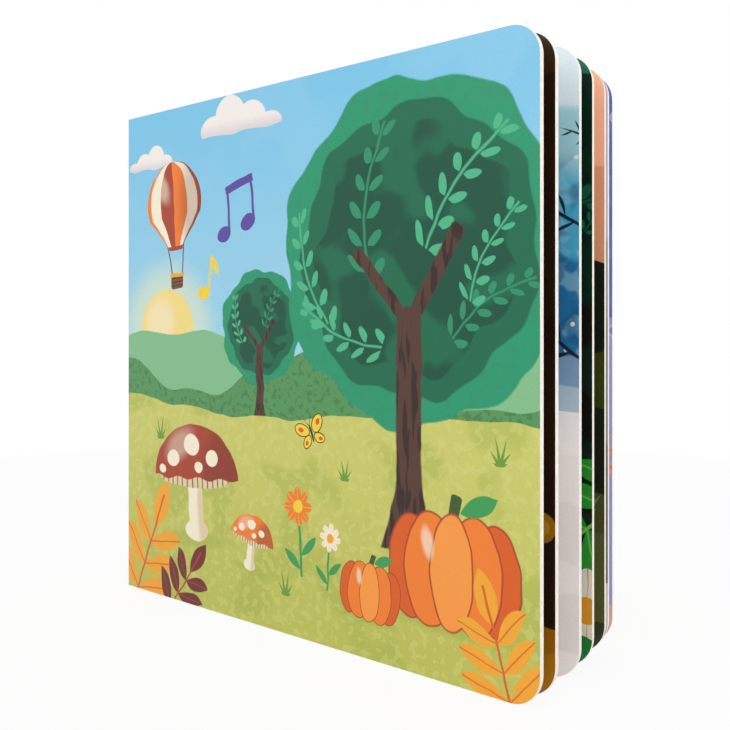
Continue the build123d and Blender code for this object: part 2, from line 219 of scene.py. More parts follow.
def seen_directly(tree):
    """1 for rays that show the backdrop itself: to the camera, in a reflection or through glass."""
    rays = tree.nodes.new("ShaderNodeLightPath").outputs
    kinds = ("Camera", "Glossy", "Transmission")
    to_camera, glossy, passing = [Value(tree, rays[f"Is {kind} Ray"]) for kind in kinds]
    return to_camera.most(glossy).most(passing)


world = bpy.data.worlds.new("studio")
scene.world = world
world.use_nodes = True
world.node_tree.nodes.clear()
seen = seen_directly(world.node_tree)
shown = blend(seen, grey(BACKDROP_LIGHT), grey(1))
backdrop = seen.node("ShaderNodeBackground", None, {"Color": shown})
seen.node("ShaderNodeOutputWorld", None, {"Surface": backdrop})

bm = bmesh.new()
bmesh.ops.create_grid(bm, x_segments=1, y_segments=1, size=FLOOR_HALF)
floor_mesh = bpy.data.meshes.new("floor")
bm.to_mesh(floor_mesh)
bm.free()
floor = bpy.data.objects.new("floor", floor_mesh)
scene.collection.objects.link(floor)

book_middle = Vector((0.09, 0.02, 0.09))
floor_finish, floor_place = new_finish("studio_floor")
seen = seen_directly(floor_finish.node_tree)
away = floor_place.vector("SUBTRACT", tuple(book_middle / MM)).vector("MULTIPLY", (MM, MM, 0)).length()
white_share = seen * away.step(*SHADOW_REACH).most(FLOOR_WHITE_SHARE)
lit = seen.node("ShaderNodeBsdfDiffuse", None, {"Color": grey(FLOOR_GREY)})
glow = seen.node("ShaderNodeEmission")
mixed = seen.node("ShaderNodeMixShader", None, {0: white_share, 1: lit, 2: glow})
seen.node("ShaderNodeOutputMaterial", None, {"Surface": mixed})
floor_mesh.materials.append(floor_finish)


def softbox(name, place, width, height, watts):
    """A flat lamp that faces the middle of the book."""
    lamp = bpy.data.lights.new(name, "AREA")
    lamp.shape = "RECTANGLE"
    lamp.size = width
    lamp.size_y = height
    lamp.energy = watts
    holder = bpy.data.objects.new(name, lamp)
    holder.location = place
    holder.rotation_euler = (Vector(place) - book_middle).to_track_quat("Z", "Y").to_euler()
    scene.collection.objects.link(holder)


softbox("key_light", (-0.35, -1.25, 0.95), 1, 0.9, 5.5)
softbox("side_light", (1.35, -0.75, 0.75), 0.8, 0.8, 9)
softbox("back_light", (0.6, 1.3, 0.9), 0.9, 0.7, 6)
print("backdrop at", BACKDROP_LIGHT, "of white for what it lights")

# %% [markdown]
# ## Finding the printed faces
# Ink lies only on the wide faces of a board. The cut edges stay bare. Each wide face is flat, so its
# triangles share one direction and one distance from the origin, and that is how they are told apart here.

# %% Wide faces of the boards
LEAST_PRINTED_AREA = 0.02
SAME_DIRECTION = 0.9999
SAME_DISTANCE = 0.05 * MM
SORTING_REACH = 0.1
FACING = 0.9


def middle_of(node):
    low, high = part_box(node)
    return (low + high) / 2


class PrintedFace:
    """A wide flat face: its outward normal, its distance from the origin and its triangles."""

    def __init__(self, normal, distance):
        self.normal = normal
        self.distance = distance
        self.area = 0
        self.triangles = []

    def finished(self, mesh):
        """Adds the way from the gutter to the fore edge, and where on it the face begins."""
        across = Vector((0, 0, 1)).cross(self.normal).normalized()
        self.along = across if across.x > 0 else -across
        corners = [mesh.vertices[v].co for t in self.triangles for v in mesh.polygons[t].vertices]
        self.root = min(corner.dot(self.along) for corner in corners)
        return self

    def order(self):
        """How far back the face is, well away from the gutter, where the boards have fanned out."""
        return (self.distance - SORTING_REACH * self.normal.x) / self.normal.y

    def place_of(self, node):
        """The middle of a piece as a distance from the gutter and a height, in millimetres."""
        middle = middle_of(node)
        return (middle.dot(self.along) - self.root) / MM, middle.z / MM


def printed_faces(node):
    """The wide faces of a piece, from the front of the book to the back."""
    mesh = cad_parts[node].data
    faces = []
    for triangle in mesh.polygons:
        distance = triangle.normal.dot(triangle.center)
        for face in faces:
            alike = face.normal.dot(triangle.normal) > SAME_DIRECTION
            if alike and abs(face.distance - distance) < SAME_DISTANCE:
                break
        else:
            face = PrintedFace(triangle.normal.copy(), distance)
            faces.append(face)
        face.area += triangle.area
        face.triangles.append(triangle.index)
    wide = [face.finished(mesh) for face in faces if face.area > LEAST_PRINTED_AREA]
    return sorted(wide, key=PrintedFace.order)


def picked(node, test):
    """The triangles of a piece that pass a test, as one face."""
    face = PrintedFace(Vector(), 0)
    face.triangles = [triangle.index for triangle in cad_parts[node].data.polygons if test(triangle)]
    return face


def hinge_end(node, wide):
    """The narrow end of a cover beside the spine. The printed wrap runs over it."""
    reach = wide.root + MM
    return picked(node, lambda t: t.normal.dot(wide.along) < -FACING and t.center.dot(wide.along) < reach)


cover_faces = printed_faces("front_cover")
leaf_faces = printed_faces("pages")
end_faces = printed_faces("end_page")
back_faces = printed_faces("back_cover")
key_page, back_face = end_faces[0], back_faces[-1]
print("printed faces:", len(cover_faces), len(leaf_faces), len(end_faces), len(back_faces))

# %% [markdown]
# ## Shapes and motifs
# A picture book is printed in flat fields of colour. So a picture here is a stack of fields, each with a
# mask, which is 1 inside its shape, and a colour. The masks are plain formulas on two lengths, u across and
# v up, so they stay sharp at any distance. A motif such as a tree is a stack of its own in a node group,
# drawn once about its own origin at a size of about 1, and then placed at many sizes, turned or flipped.
#
# A shader has a short memory for values that wait their turn. If every motif on a page were worked out at
# once, it would run over and the page would render black. So place() adds to a motif's coordinates a share,
# too small to see, of the colour under it, and each waits for the one before.

# %% Canvas
MOTIF_EDGE = 0.016
PAGE_EDGE = 0.22
HOLD_BACK = 1e-9
NOISE_SPREAD = 0.6


class Canvas:
    """Something that can be painted on. lay() puts one more field of colour on it."""

    def __init__(self, spot, colour, edge):
        self.spot = spot
        self.u = spot.part(0)
        self.v = spot.part(1)
        self.colour = colour
        self.edge = edge

    def lay(self, mask, colour):
        self.colour = blend(mask, self.colour, colour)

    def lay_below(self, colour, middle, *waves, edge=None):
        """Fills everything under a line that waves about middle."""
        self.lay(self.below(self.waves(middle, *waves), edge), colour)

    def inside(self, distance, reach=0, edge=None):
        """1 where a distance is below reach, with a soft edge."""
        half = (edge or self.edge) / 2
        return distance.step(reach + half, reach - half)

    def below(self, line, edge=None):
        """1 under a line, which may be a height or rise and fall along u."""
        if isinstance(line, Value):
            return self.inside(self.v - line, edge=edge)
        return self.inside(self.v, line, edge)

    def above(self, line, edge=None):
        if isinstance(line, Value):
            return self.inside(line - self.v, edge=edge)
        half = (edge or self.edge) / 2
        return self.v.step(line - half, line + half)

    def turned(self, x, y, wide=1, high=1, turn=0, spot=None):
        """Coordinates with their origin at (x, y), turned, and measured in wide and high."""
        spot = spot or self.spot
        if turn:
            inputs = {"Vector": spot, "Center": (x, y, 0), "Angle": -radians(turn)}
            spot = spot.node("ShaderNodeVectorRotate", {"rotation_type": "Z_AXIS"}, inputs)
        if wide == high == 1:
            return spot.vector("SUBTRACT", (x, y, 0))
        return spot.vector("MULTIPLY_ADD", (1 / wide, 1 / high, 1), (-x / wide, -y / high, 0))

    def oval(self, x, y, wide, high=None, turn=0, edge=None):
        """A circle of radius wide where no high is given."""
        high = high or wide
        soft = (edge or self.edge) / (2 * min(wide, high))
        return self.turned(x, y, wide, high, turn).length().step(1 + soft, 1 - soft)

    def lay_oval(self, colour, *sizes):
        self.lay(self.oval(*sizes), colour)

    def bar(self, x, y, wide, high, turn=0, corner=0):
        """A box of half sizes wide and high, with rounded corners."""
        corner = max(corner, self.edge / 2)
        core = (max(wide - corner, 0), max(high - corner, 0), 0)
        past = self.turned(x, y, turn=turn).vector("ABSOLUTE").vector("SUBTRACT", core)
        return self.inside(past.vector("MAXIMUM", (0, 0, 0)).length(), corner)

    def leaf(self, x, y, long, wide, turn=0):
        """Pointed at both ends."""
        at = self.turned(x, y, long, wide, turn)
        soft = self.edge / (2 * wide)
        return (abs(at.part(1)) + at.part(0) ** 2).step(1 + soft, 1 - soft)

    def waves(self, middle, *waves):
        """A line about middle, with a (height, length, start) for each wave in it."""
        line = middle
        for height, length, start in waves:
            line = self.u.ramp(2 * pi / length, start).math("SINE") * height + line
        return line

    def together(self, *masks):
        joined = masks[0]
        for mask in masks[1:]:
            joined = joined.most(mask)
        return joined

    def dabs(self, scale, share, seed, soft=0.06):
        """Loose patches like dabs of a sponge. share is how much of the picture they take."""
        shifted = self.spot.vector("ADD", (seed * 37, seed * 11, 0))
        level = 0.5 + (0.5 - share) * NOISE_SPREAD
        return noise(shifted, scale, 1.5, dimensions="2D").step(level - soft / 2, level + soft / 2)

    def dots(self, spacing, radius, seed=0):
        """Small round dots strewn about, one to a cell."""
        shifted = self.spot.vector("ADD", (seed * 17, seed * 5, 0))
        settings = {"voronoi_dimensions": "2D"}
        cells = shifted.node("ShaderNodeTexVoronoi", settings, {"Vector": shifted, "Scale": 1 / spacing})
        return self.inside(cells * spacing, radius)

    def place(self, group, x, y, size=1, turn=0, inks=(), flipped=False):
        """Paints a motif with its origin at (x, y), once the colour under it is known."""
        held = self.spot
        if isinstance(self.colour, Value):
            held = self.colour.vector("MULTIPLY_ADD", (HOLD_BACK,) * 3, self.spot)
        spot = self.turned(x, y, -size if flipped else size, size, turn, held)
        inputs = dict(enumerate((spot, self.colour, *inks)))
        self.colour = spot.node("ShaderNodeGroup", {"node_tree": group}, inputs)

    def folded(self):
        """A canvas for the right half of a motif, which shows on both sides."""
        spot = self.spot.vector("MAXIMUM", self.spot.vector("MULTIPLY", (-1, 1, 1)))
        return Canvas(spot, self.colour, self.edge)

    def repeated(self, wide, high, shift_x=0, shift_y=0):
        """A canvas that repeats every wide and high, with its origin in the middle of each tile."""
        moved = self.spot.vector("ADD", (shift_x, shift_y, 0))
        tile = moved.vector("WRAP", (wide / 2, high / 2, 1), (-wide / 2, -high / 2, -1))
        return Canvas(tile, self.colour, self.edge)


# %% Motif
def motif(*inks):
    """Turns a drawing function into a node group that lays the drawing over a colour."""

    def make(draw):
        group = bpy.data.node_groups.new(draw.__name__, "ShaderNodeTree")
        add = group.interface.new_socket
        add("Spot", in_out="INPUT", socket_type="NodeSocketVector")
        for label in ("Under", *inks):
            add(label, in_out="INPUT", socket_type="NodeSocketColor")
        add("Painted", in_out="OUTPUT", socket_type="NodeSocketColor")
        handed_in = group.nodes.new("NodeGroupInput").outputs
        spot, under, *colours = [Value(group, socket) for socket in handed_in[:len(inks) + 2]]
        canvas = Canvas(spot, under, MOTIF_EDGE)
        draw(canvas, *colours)
        canvas.colour.node("NodeGroupOutput", None, {0: canvas.colour})
        return group

    return make


# %% [markdown]
# ## Inks
# The inks that several pictures share: the fresh greens, sky blue, orange and russet of a nursery picture.

# %% Inks
SKY_HIGH, SKY_LOW, SKY_DAB = "#7cc4e6", "#a2d4e9", "#92cde8"
SUN, SUN_GLOW = "#f2db86", "#dbe6c6"
CLOUD, CLOUD_SHADE, CREAM, SAND = "#f3ece7", "#dcd5d6", "#f7ecd4", "#e3cfa8"
HILL_FAR, HILL_NEAR, HILL_DARK = "#83bd8b", "#55945a", "#3d5a2e"
CROWN_DARK, CROWN_MID, CROWN_EDGE = "#0f5039", "#17694a", "#27966d"
SPRIG, SPRIG_DEEP = "#4fb487", "#2f8f68"
TRUNK, TRUNK_DARK = "#54392f", "#352320"
MEADOW_HIGH, MEADOW_LOW, MEADOW_SHADE = "#cbca6c", "#bdc05c", "#a6b34c"
MEADOW_LIGHT, GRASS, GREEN_LEAF = "#d6d683", "#6f9a3c", "#3d9a55"
ORANGE, ORANGE_DARK, ORANGE_LIGHT = "#f08030", "#d95f20", "#f79a45"
RUSSET, RED_BROWN, BASKET = "#a8432c", "#6f2d25", "#7a4a2c"
YELLOW, YELLOW_LEAF, PURPLE = "#f5d13e", "#f0a835", "#5b499c"
CLOUD_INKS, LEAF_INKS = [CLOUD, CLOUD_SHADE], [YELLOW_LEAF, ORANGE_DARK]
BALLOON_INKS = [ORANGE, CREAM, RUSSET]
KEY_INKS = ["#d9413a", "#f2b42c", "#3f9d4d", "#2f7fc0", "#7d4fa3"]

# %% [markdown]
# ## Plants
# A sprig is a curved stem with leaves in pairs. One formula draws all the pairs, because the remainder of
# the way along the stem starts again at every pair. The tree's crown is a circle whose edge rises and falls
# with the angle, and sprigs lie on it in lighter green.


# %% Sprig, tuft and branch
@motif("Leaf")
def sprig(c, leaf):
    """From (0, 0) to (1, 0)."""
    off = abs(c.v - (c.u * 3.6).math("SINE") * 0.08)
    kept = c.u.step(0, 0.01) * c.u.step(1, 0.985)
    stem = c.inside(off, 0.01)
    pace = (c.u % 0.18) - 0.05
    reach = c.u * -0.04 + 0.095
    side = off - reach
    belly = (pace - side * 0.75) / 0.042
    shape = belly ** 2 + (side / (reach * 0.72)) ** 2
    leaves = shape.step(1.16, 0.84)
    c.lay(kept * stem.most(leaves), leaf)


@motif("Blade")
def tuft(c, blade):
    """Five blades from one root."""
    reach = c.spot.length()
    tall = (c.v / reach).most(0) ** 3 * 0.75 + 0.25
    gap = radians(25)
    beside = abs((c.v.math("ARCTAN2", c.u) + radians(10)) % gap - gap / 2) * reach
    width = (reach / tall - 1) * 0.09
    c.lay(c.inside(beside + width) * c.above(0.04), blade)


@motif("Leaf", "Vein")
def branch(c, leaf, vein):
    """Broad leaves in pairs on a stem from (0, 0) to (1, 0), and one more at its tip."""
    off = abs(c.v)
    root = c.u - off * 0.62
    kept = root.step(0, 0.01) * root.step(0.9, 0.89)
    beside = abs(root % 0.3 - 0.15)
    half = root * -0.08 + 0.28
    ends = (off / half - 1) ** 2
    c.lay(kept * c.inside((ends - 1) * 0.13 + beside), leaf)
    c.lay(c.leaf(1.22, 0, 0.3, 0.13), leaf)
    veins = kept * c.inside(beside, 0.008) * c.inside(ends, 0.9)
    stem = c.bar(0.66, 0, 0.68, 0.014)
    c.lay(veins.most(stem), vein)


# %% Trees and daisy
def paint_tree(c, sprigs):
    """A crown of radius 1 about the origin, on a trunk that ends at -1.75."""
    reach = c.spot.length()
    around = c.v.math("ARCTAN2", c.u)
    scallop = (around * 7 + 1).math("SINE") * 0.035
    rim = reach - scallop + (around * 17 + 2).math("SINE") * 0.012
    crown = c.inside(rim, 1)
    c.lay(crown, CROWN_EDGE)
    c.lay(crown * c.dabs(13, 0.38, 1, 0.1) * 0.6, SPRIG_DEEP)
    c.lay(c.inside(rim + scallop * 1.8, 0.84), CROWN_MID)
    c.lay(c.inside(rim + scallop * 2.4, 0.7) * c.dabs(2.4, 0.6, 2, 0.1), CROWN_DARK)
    for x, y, size, turn, ink in sprigs:
        c.place(sprig, x, y, size, turn, [ink])
    flare = ((c.v + 1.2) * -1).most(0) ** 2
    trunk = c.inside(abs(c.u) - (flare * 0.45 + 0.09))
    trunk = trunk * c.below(-0.32) * c.above(-1.72)
    forks = c.together(c.bar(-0.2, -0.2, 0.04, 0.3, 42, 0.03), c.bar(0.17, -0.16, 0.045, 0.34, -32, 0.03))
    wood = trunk.most(forks)
    c.lay(wood, TRUNK)
    streaks = noise(c.spot.vector("MULTIPLY", (22, 3, 1)), 1, 1, dimensions="2D")
    c.lay(wood * streaks.step(0.5, 0.58), TRUNK_DARK)


@motif()
def tree(c):
    paint_tree(c, [
        (-0.62, -0.42, 0.75, 112, SPRIG), (-0.3, -0.12, 0.9, 84, SPRIG_DEEP), (-0.2, -0.55, 0.7, 160, SPRIG),
        (0.12, 0, 0.85, 52, SPRIG), (0.3, -0.5, 0.62, 34, SPRIG_DEEP), (0.42, -0.3, 0.6, 62, SPRIG),
    ])


@motif()
def sapling(c):
    paint_tree(c, [(-0.45, -0.3, 0.9, 105, SPRIG), (0.15, 0, 0.8, 62, SPRIG_DEEP)])


@motif("Petals", "Heart")
def daisy(c, petals, heart):
    """A flower of radius 1 on a stem that ends at -3.6, with two leaves."""
    c.lay(c.bar(0, -1.8, 0.08, 1.8), GREEN_LEAF)
    c.lay(c.leaf(0.6, -2, 0.75, 0.24, 42), GREEN_LEAF)
    c.lay(c.leaf(-0.6, -2.7, 0.75, 0.24, 138), GREEN_LEAF)
    around = c.v.math("ARCTAN2", c.u)
    lobes = abs((around * 4).math("COSINE")) ** 0.6 * 0.5
    rim = c.spot.length() - lobes
    flower = c.inside(rim, 0.5)
    c.lay(flower, petals)
    c.lay(flower * c.inside(abs((around * 4).math("SINE")) * 0.4, 0.03), heart)
    c.lay_oval(heart, 0, 0, 0.33)


print("the tree has", len(tree.nodes), "nodes of its own")

# %% [markdown]
# ## Toadstools, pumpkins and things in the air
# Each is a few ovals and bars. Stripes on the balloon follow the angle round it, so they narrow to the sides
# as they would on a ball.


# %% Toadstool and pumpkin
@motif("Cap")
def toadstool(c, cap):
    """A cap of radius 1 about the origin, on a stem that ends at -0.95."""
    c.lay(c.oval(0, -0.96, 0.75, 0.12, edge=0.12) * 0.6, MEADOW_SHADE)
    stem = c.together(c.bar(0, -0.42, 0.17, 0.5, corner=0.12), c.oval(0, -0.82, 0.27, 0.17))
    c.lay(stem, CREAM)
    c.lay(stem * c.oval(0.2, -0.5, 0.16, 0.6, edge=0.08), SAND)
    gills = c.oval(0, 0, 0.86, 0.17)
    c.lay(gills, SAND)
    c.lay(gills * c.inside(abs(c.u % 0.12 - 0.06), 0.012), BASKET)
    dome = c.oval(0, -0.02, 1, 0.84) * c.above(c.waves(-0.02, (0.025, 0.5, 0.5)))
    c.lay(dome, cap)
    c.lay(dome * c.oval(0.7, 0.05, 0.5, 0.7, edge=0.3) * 0.5, RED_BROWN)
    c.lay(dome * c.oval(-0.35, 0.5, 0.35, 0.2, 30, edge=0.2) * 0.35, CREAM)
    dots = [(-0.52, 0.28, 0.15), (-0.05, 0.5, 0.19), (0.42, 0.3, 0.14), (0.1, 0.16, 0.1), (-0.8, 0.1, 0.08)]
    for x, y, dot in dots:
        c.lay(dome * c.oval(x, y, dot, dot * 0.86), CREAM)


@motif()
def pumpkin(c):
    """About 2 wide and 1.7 high about the origin."""
    c.lay(c.oval(0, -0.76, 1.15, 0.13, edge=0.14) * 0.6, MEADOW_SHADE)
    c.lay(c.bar(0.05, 0.9, 0.09, 0.2, -14, 0.05), HILL_DARK)
    ribs = [(0.72, 0.42, 0.76, ORANGE_DARK), (0.38, 0.46, 0.83, ORANGE), (0, 0.38, 0.84, ORANGE_LIGHT)]
    half = c.folded()
    for across, wide, high, ink in ribs:
        half.lay_oval(RUSSET, across, 0, wide, high)
        half.lay_oval(ink, across, 0, wide - 0.028, high - 0.028)
    c.colour = half.colour
    c.lay(c.oval(-0.42, 0.38, 0.1, 0.22, 12, edge=0.08) * 0.6, CREAM)
    c.lay(c.leaf(0.45, 0.98, 0.34, 0.15, 24), GREEN_LEAF)


# %% Cloud and balloon
@motif("Ink", "Shade")
def cloud(c, ink, shade):
    """A bank about 2 wide, flat below."""
    puffs = c.together(
        c.oval(-0.68, 0.05, 0.34, 0.24), c.oval(-0.25, 0.22, 0.38), c.oval(0.28, 0.12, 0.36, 0.3),
        c.oval(0.72, 0, 0.3, 0.18),
    )
    bank = puffs * c.above(c.waves(-0.06, (0.02, 0.9, 0)))
    c.lay(bank, ink)
    c.lay(bank * c.v.step(0.2, -0.08), shade)


@motif("First", "Second", "Third")
def balloon(c, first, second, third):
    """An envelope of radius 1 about the origin, over a basket at -1.8."""
    for side in (-1, 1):
        c.lay(c.bar(side * 0.24, -1.3, 0.018, 0.42, -side * 9), TRUNK)
    waist = c.v.most(-0.3)
    half = (1 - waist * waist).most(0.0001).math("SQRT")
    half = half.math("MINIMUM", c.v * 0.95 + 1.24)
    envelope = c.inside(abs(c.u) - half) * c.above(-1.04) * c.below(0.998)
    stripe = (c.u / half).math("ARCSINE") * (6 / pi) + 3
    kind = stripe % 3
    colour = blend(kind.step(0.96, 1.04), first, second)
    colour = blend(kind.step(1.96, 2.04), colour, third)
    c.lay(envelope, colour)
    c.lay(envelope * c.oval(0.75, -0.15, 0.55, 1.1, edge=0.5) * 0.4, RED_BROWN)
    c.lay(envelope * c.oval(-0.4, 0.42, 0.2, 0.36, 24, edge=0.2) * 0.45, CREAM)
    c.lay(c.bar(0, -1.05, 0.25, 0.05, corner=0.03), RUSSET)
    basket = c.bar(0, -1.85, 0.21, 0.17, corner=0.06)
    c.lay(basket, BASKET)
    c.lay(basket * c.inside(abs(c.v % 0.09 - 0.045), 0.01), TRUNK_DARK)
    c.lay(c.bar(0, -1.69, 0.25, 0.045, corner=0.03), YELLOW_LEAF)


# %% Butterfly and notes
@motif("Wing", "Spot")
def butterfly(c, wing, spot_ink):
    """About 2 wide, its body along v."""
    half = c.folded()
    for x, y, wide, high, turn in ((0.55, 0.35, 0.52, 0.34, 38), (0.42, -0.32, 0.36, 0.26, -38)):
        half.lay_oval(TRUNK_DARK, x, y, wide, high, turn)
        half.lay_oval(wing, x, y, wide - 0.05, high - 0.05, turn)
        half.lay_oval(spot_ink, x * 1.15, y * 1.15, wide * 0.34, high * 0.36, turn)
    half.lay(half.bar(0.13, 0.62, 0.012, 0.2, -24), TRUNK_DARK)
    half.lay_oval(TRUNK_DARK, 0, 0.02, 0.07, 0.46)
    c.colour = half.colour


@motif("Ink")
def quavers(c, ink):
    """Two notes under one beam, 1 apart."""
    shapes = [c.bar(0.72, 1.22, 0.56, 0.11, 10, 0.02)]
    for x, y in ((0, 0), (0.95, 0.17)):
        shapes += [c.oval(x, y, 0.29, 0.21, 20), c.bar(x + 0.24, y + 0.58, 0.045, 0.58)]
    c.lay(c.together(*shapes), ink)


@motif("Ink")
def quaver(c, ink):
    head = c.oval(0, 0, 0.29, 0.21, 20)
    stem = c.bar(0.24, 0.6, 0.045, 0.6)
    flag = c.leaf(0.44, 0.92, 0.36, 0.12, -58)
    c.lay(c.together(head, stem, flag), ink)


print("motifs:", *[group.name for group in bpy.data.node_groups])

# %% [markdown]
# ## Printed, laminated board
# The sheet is offset print under a thin clear film, glued to white board. A hand never draws quite straight,
# so a little noise bends the lengths before anything is drawn on them. Up close the ink has a fine grain. The
# film is smooth but not a mirror: it has the faint unevenness of paper.

# %% Picture
HAND_SWAY = 1.2
HAND_SWAY_SCALE = 0.11
GRAIN_SCALE = 1.7
FILM_SCALE = 0.55
FILM_RELIEF = 0.012
FILM_SPREAD = 0.14


class Picture(Canvas):
    """A printed face, measured in millimetres from the gutter and up from the bottom edge."""

    def __init__(self, name, along, root, ground, sway=HAND_SWAY):
        self.material, place = new_finish(name)
        flat_u = place.vector("DOT_PRODUCT", tuple(along), output=1) - root / MM
        self.flat = place.node("ShaderNodeCombineXYZ", None, {0: flat_u, 1: place.part(2)})
        drift = noise(self.flat, HAND_SWAY_SCALE, 1, output=1, dimensions="2D")
        bent = drift.vector("MULTIPLY_ADD", (sway, sway, 0), self.flat)
        spot = bent.vector("SUBTRACT", (sway / 2, sway / 2, 0))
        super().__init__(spot, ground, PAGE_EDGE)

    def laminate(self, gloss=0.34, grain=0.14):
        """Closes the material as print under film."""
        speckle = noise(self.flat, GRAIN_SCALE, 2, 0.65, dimensions="2D")
        printed = self.colour.scaled(speckle.ramp(grain, 1 - grain / 2))
        film = noise(self.flat, FILM_SCALE, 2, dimensions="2D")
        least = gloss - FILM_SPREAD / 2
        surface(printed, film, FILM_RELIEF, FILM_SPREAD, least, {"Specular IOR Level": 0.3})
        print(self.material.name, "has", len(self.material.node_tree.nodes), "nodes")
        return self.material


def picture_on(name, face, ground, sway=HAND_SWAY):
    return Picture(name, face.along, face.root, ground, sway)


# %% [markdown]
# ## Front cover
# A meadow under a blue sky with a rising sun: round trees in dark green, a balloon, and toadstools,
# pumpkins and flowers in front. It is laid from the back to the front, like a paper collage.


# %% Sky, hills and meadow
def paint_sky(c, sun=None):
    c.lay(c.v.step(80, 185), SKY_HIGH)
    c.lay(c.dabs(0.035, 0.45, 1, 0.2) * 0.4, SKY_DAB)
    if sun:
        c.lay(c.oval(*sun, 24, edge=14) * 0.7, SUN_GLOW)
        c.lay_oval(SUN, *sun, 15.5)
        c.lay(c.oval(sun[0] - 4, sun[1] + 4, 8, edge=6) * 0.5, CREAM)


def paint_hills(c, top=92):
    c.lay_below(HILL_FAR, top, (7, 150, 0.4), (2, 47, 1))
    near = c.below(c.waves(top - 8, (8, 120, 2.6), (1.5, 31, 0)))
    c.lay(near, HILL_NEAR)
    c.lay(near * c.dabs(0.5, 0.35, 4, 0.06) * 0.4, HILL_DARK)


def paint_meadow(c, top=72):
    meadow = c.below(c.waves(top, (2.6, 170, 2.2), (0.6, 33, 0)))
    c.lay(meadow, blend(c.v.step(0, top), MEADOW_LOW, MEADOW_HIGH))
    c.lay(meadow * c.dabs(0.045, 0.4, 5, 0.14) * 0.5, MEADOW_SHADE)
    c.lay(meadow * c.dabs(0.32, 0.38, 6, 0.05) * 0.35, MEADOW_LIGHT)


def strew(c, group, places, inks=()):
    """Places a motif at each (x, y, size), and leans it where a turn in degrees follows."""
    for place in places:
        c.place(group, *place, inks=inks)


# %% Lay the front cover
cover = picture_on("cover_print", cover_faces[0], SKY_LOW)
paint_sky(cover, sun=(24, 98))
cover.place(cloud, 64, 168, 20, inks=CLOUD_INKS)
cover.place(cloud, 14, 160, 13, inks=CLOUD_INKS, flipped=True)
cover.place(quavers, 56, 132, 13, 6, [PURPLE])
cover.place(quaver, 45, 112, 11, -8, [YELLOW])
paint_hills(cover)
cover.place(sapling, 74, 100, 19)
cover.place(balloon, 28, 145, 15.5, 4, BALLOON_INKS)
paint_meadow(cover)
cover.place(tree, 137, 122, 51)
strew(cover, tuft, [(20, 58, 9), (112, 52, 8), (168, 62, 9), (86, 12, 9)], [GRASS])
cover.place(toadstool, 40, 46, 23, 3, [RUSSET])
cover.place(toadstool, 70, 28, 10.5, -8, [ORANGE])
strew(cover, pumpkin, [(152, 31, 20), (122, 20, 10.5, -4)])
cover.place(daisy, 92, 42, 6.2, 4, [ORANGE, YELLOW])
cover.place(daisy, 106, 34, 4.6, -5, [CREAM, YELLOW_LEAF])
cover.place(butterfly, 98, 66, 6.5, 24, [YELLOW, ORANGE_DARK])
cover.place(branch, 4, -4, 34, 66, LEAF_INKS)
cover.place(branch, 24, -6, 24, 52, [RED_BROWN, RUSSET])
cover.place(branch, 172, -4, 26, 106, LEAF_INKS)
cover.laminate()

# %% [markdown]
# ## Endpaper, spreads and end page
# Inside the cover is a repeat of leafy sprigs. Each spread keeps one picture on both of its pages. Only a
# narrow strip of most of them shows at the fore edge, so their colours change up the page as a painted
# scene would: winter blue, jungle green, a warm dusk, a grey mist and a coral sea.

# %% Endpaper
endpaper = picture_on("endpaper_print", cover_faces[1], "#8fbf57")
endpaper.lay(endpaper.dabs(0.08, 0.5, 1, 0.2) * 0.5, "#9fca66")
for shift_x, shift_y, x, turn, ink in ((0, 0, 6, 70, "#5c9c45"), (18, 26, -6, 112, "#b7d67d")):
    tile = endpaper.repeated(36, 52, shift_x, shift_y)
    tile.place(sprig, x, -21, 43, turn, [ink])
    endpaper.colour = tile.colour
endpaper.lay(endpaper.dots(18, 1.3, 2), CREAM)
endpaper.laminate()

# %% Den
den = picture_on("den_print", leaf_faces[0], "#240c08")
den.lay(den.dabs(0.05, 0.5, 1, 0.2) * 0.6, "#2c130c")
den.lay(den.above(den.waves(166, (4, 60, 0.6), (1.4, 21, 0))), "#3a1c12")
den.lay_oval("#5a2f1a", 78, 108, 44)
den.lay_oval("#3d2013", 78, 108, 40)
window = den.oval(78, 108, 37)
den.lay(window, blend(den.v.step(70, 145), "#3b5f95", "#14244f"))
den.lay(window * den.dots(9, 0.55, 3), CREAM)
den.lay_oval(SUN, 90, 120, 11)
den.lay(window * den.oval(94, 123, 9.5), "#1b2f5f")
den.lay(window * den.below(den.waves(84, (4, 44, 0))), "#16382f")
den.lay_below("#ac670f", 20, (1.8, 64, 1), (0.7, 17, 0))
den.lay_below("#bb7812", 12, (1.8, 48, 2))
for x, y, size in ((176, 46, 4.2), (171, 35, 5.4), (20, 34, 6), (160, 30, 4.6), (30, 28, 4.6)):
    den.lay_oval("#a8700f", x, y, size)
    den.lay_oval("#c98a24", x, y, size * 0.55)
strew(den, toadstool, [(44, 27, 11), (62, 20, 7), (128, 24, 10)], [RUSSET])
den.place(branch, 118, 132, 42, 28, ["#7a4a16", "#4d2c0e"])
den.laminate()


# %% Winter
@motif("Bark")
def twig(c, bark):
    """A bare twig from (0, 0) to (1, 0) with side shoots."""
    shoots = [(0.5, 0.02, 0.5, 0), (0.45, 0.13, 0.17, 52), (0.62, -0.1, 0.15, -44), (0.82, 0.09, 0.13, 38)]
    for x, y, long, turn in shoots:
        c.lay(c.leaf(x, y, long, 0.022, turn), bark)


